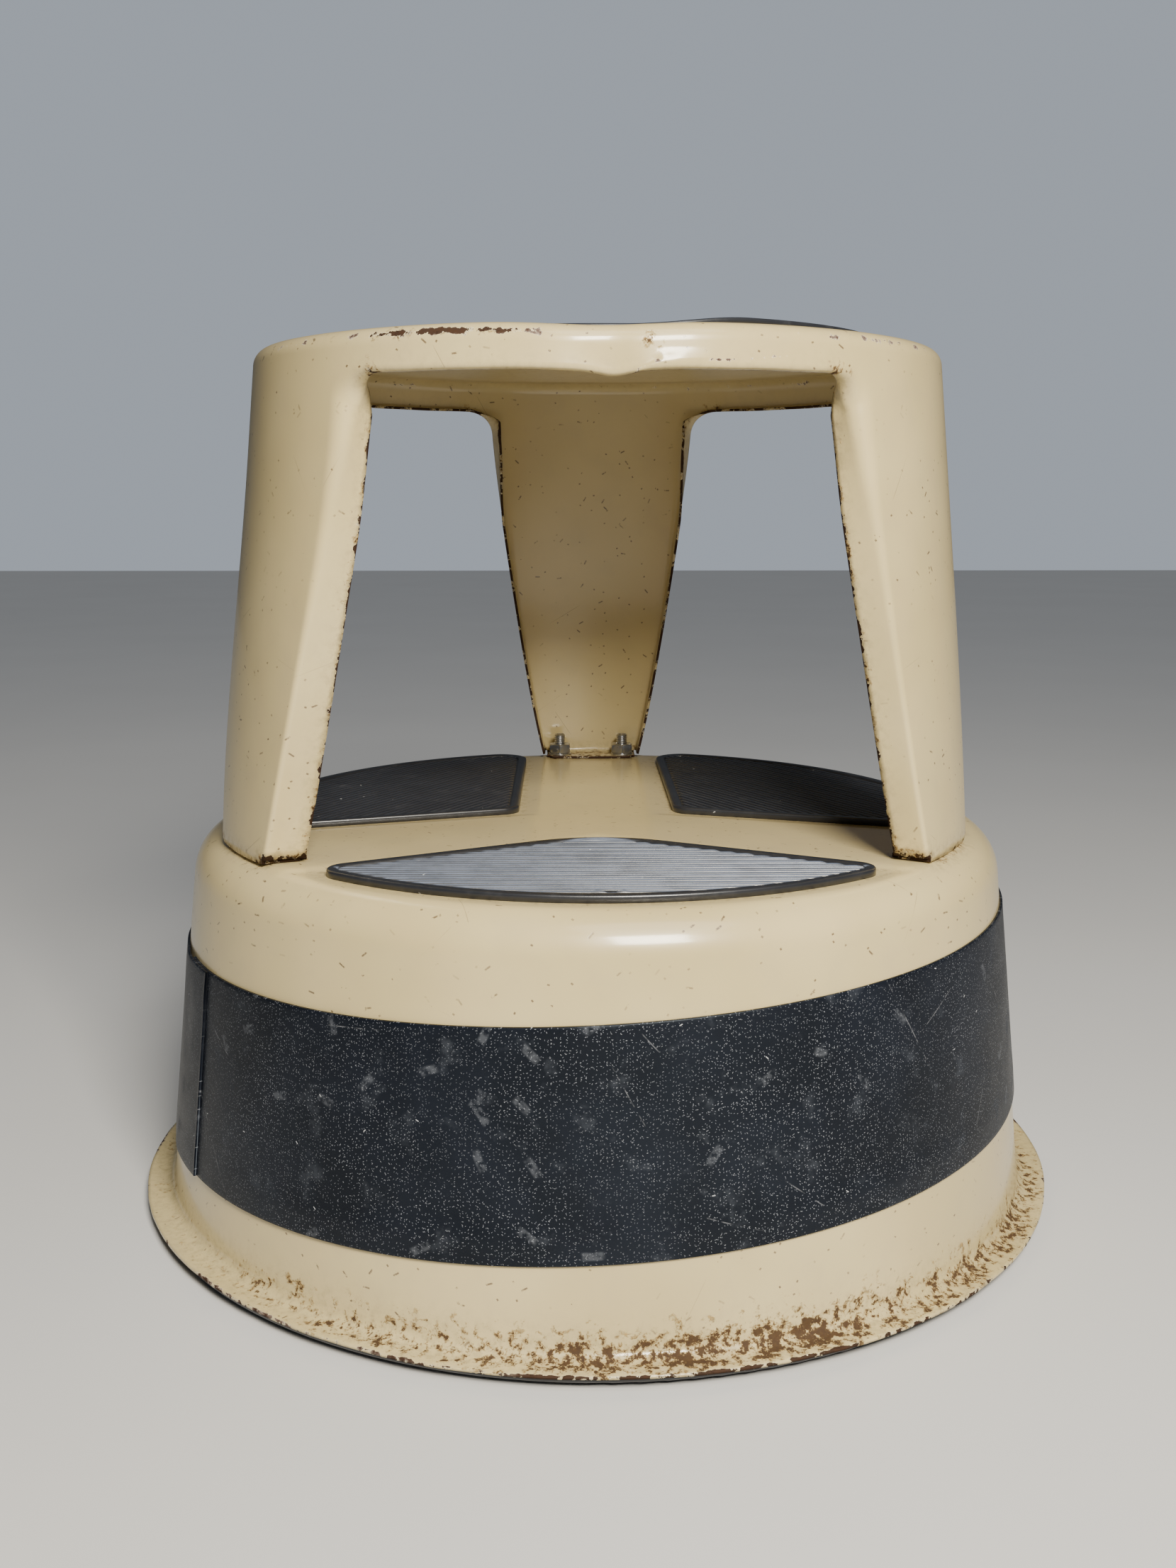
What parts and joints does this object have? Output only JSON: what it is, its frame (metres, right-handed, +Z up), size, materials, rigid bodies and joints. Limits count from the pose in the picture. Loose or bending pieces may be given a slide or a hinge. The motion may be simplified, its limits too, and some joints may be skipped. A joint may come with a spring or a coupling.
{
  "type": "kick step stool",
  "caption": "Round two-step metal stool that glides on sprung swivel casters and settles on its base ring when stepped on.",
  "frame": {"origin": "on the floor under the centre of the base, at the bottom of the wheels", "axes": "+Z up; -Y is the front, between two legs; the rear leg is on +Y"},
  "size_m": [0.4064, 0.4062, 0.3628],
  "materials": {
    "beige_paint": "semi-gloss beige enamel over brown primer, chipped and rusty at the edges",
    "tread_rubber": "fine-ribbed black rubber",
    "band_vinyl": "satin charcoal vinyl, scuffed",
    "ring_rubber": "matt black rubber",
    "zinc_steel": "zinc plated",
    "bare_steel": "mill finish",
    "turned_steel": "turned",
    "hub_plastic": "moulded",
    "tyre_rubber": "grey-black tyre rubber"
  },
  "bodies": {
    "stool": {"upper_step_shell": "beige_paint", "lower_step_shell": "beige_paint", "top_tread": "tread_rubber", "front_tread": "tread_rubber", "rear_left_tread": "tread_rubber", "rear_right_tread": "tread_rubber", "bumper_band": "band_vinyl", "floor_ring": "ring_rubber", "leg_bolts": "zinc_steel", "leg_washers": "zinc_steel", "leg_nuts": "zinc_steel", "caster_bracket_1": "bare_steel", "stem_socket_1": "bare_steel", "caster_spring_1": "turned_steel", "caster_bracket_2": "bare_steel", "stem_socket_2": "bare_steel", "caster_spring_2": "turned_steel", "caster_bracket_3": "bare_steel", "stem_socket_3": "bare_steel", "caster_spring_3": "turned_steel"},
    "stem_1": {"caster_stem_1": "turned_steel", "caster_race_1": "zinc_steel"},
    "fork_1": {"caster_fork_1": "zinc_steel", "caster_axle_1": "turned_steel", "caster_axle_nut_1": "turned_steel"},
    "wheel_1": {"caster_hub_1": "hub_plastic", "caster_tyre_1": "tyre_rubber"},
    "stem_2": {"caster_stem_2": "turned_steel", "caster_race_2": "zinc_steel"},
    "fork_2": {"caster_fork_2": "zinc_steel", "caster_axle_2": "turned_steel", "caster_axle_nut_2": "turned_steel"},
    "wheel_2": {"caster_hub_2": "hub_plastic", "caster_tyre_2": "tyre_rubber"},
    "stem_3": {"caster_stem_3": "turned_steel", "caster_race_3": "zinc_steel"},
    "fork_3": {"caster_fork_3": "zinc_steel", "caster_axle_3": "turned_steel", "caster_axle_nut_3": "turned_steel"},
    "wheel_3": {"caster_hub_3": "hub_plastic", "caster_tyre_3": "tyre_rubber"}
  },
  "joints": [
    {"name": "caster_1_retract", "type": "slide", "parent": "stool", "child": "stem_1", "axis": [0, 0, 1], "range_m": [0, 0.008], "stiffness_N_per_m": 2000, "springref_m": -0.015, "deforming": ["caster_spring_1"]},
    {"name": "caster_1_swivel", "type": "hinge", "parent": "stem_1", "child": "fork_1", "pos_m": [0, 0.13, 0.0662], "axis": [0, 0, 1], "continuous": true},
    {"name": "caster_1_roll", "type": "hinge", "parent": "fork_1", "child": "wheel_1", "pos_m": [0, 0.148, 0.025], "axis": [1, 0, 0], "continuous": true},
    {"name": "caster_2_retract", "type": "slide", "parent": "stool", "child": "stem_2", "axis": [0, 0, 1], "range_m": [0, 0.008], "stiffness_N_per_m": 2000, "springref_m": -0.015, "deforming": ["caster_spring_2"]},
    {"name": "caster_2_swivel", "type": "hinge", "parent": "stem_2", "child": "fork_2", "pos_m": [-0.11258, -0.065, 0.0662], "axis": [0, 0, 1], "continuous": true},
    {"name": "caster_2_roll", "type": "hinge", "parent": "fork_2", "child": "wheel_2", "pos_m": [-0.12817, -0.074, 0.025], "axis": [-0.5, 0.866, 0], "continuous": true},
    {"name": "caster_3_retract", "type": "slide", "parent": "stool", "child": "stem_3", "axis": [0, 0, 1], "range_m": [0, 0.008], "stiffness_N_per_m": 2000, "springref_m": -0.015, "deforming": ["caster_spring_3"]},
    {"name": "caster_3_swivel", "type": "hinge", "parent": "stem_3", "child": "fork_3", "pos_m": [0.11258, -0.065, 0.0662], "axis": [0, 0, 1], "continuous": true},
    {"name": "caster_3_roll", "type": "hinge", "parent": "fork_3", "child": "wheel_3", "pos_m": [0.12817, -0.074, 0.025], "axis": [-0.5, -0.866, 0], "continuous": true}
  ]
}
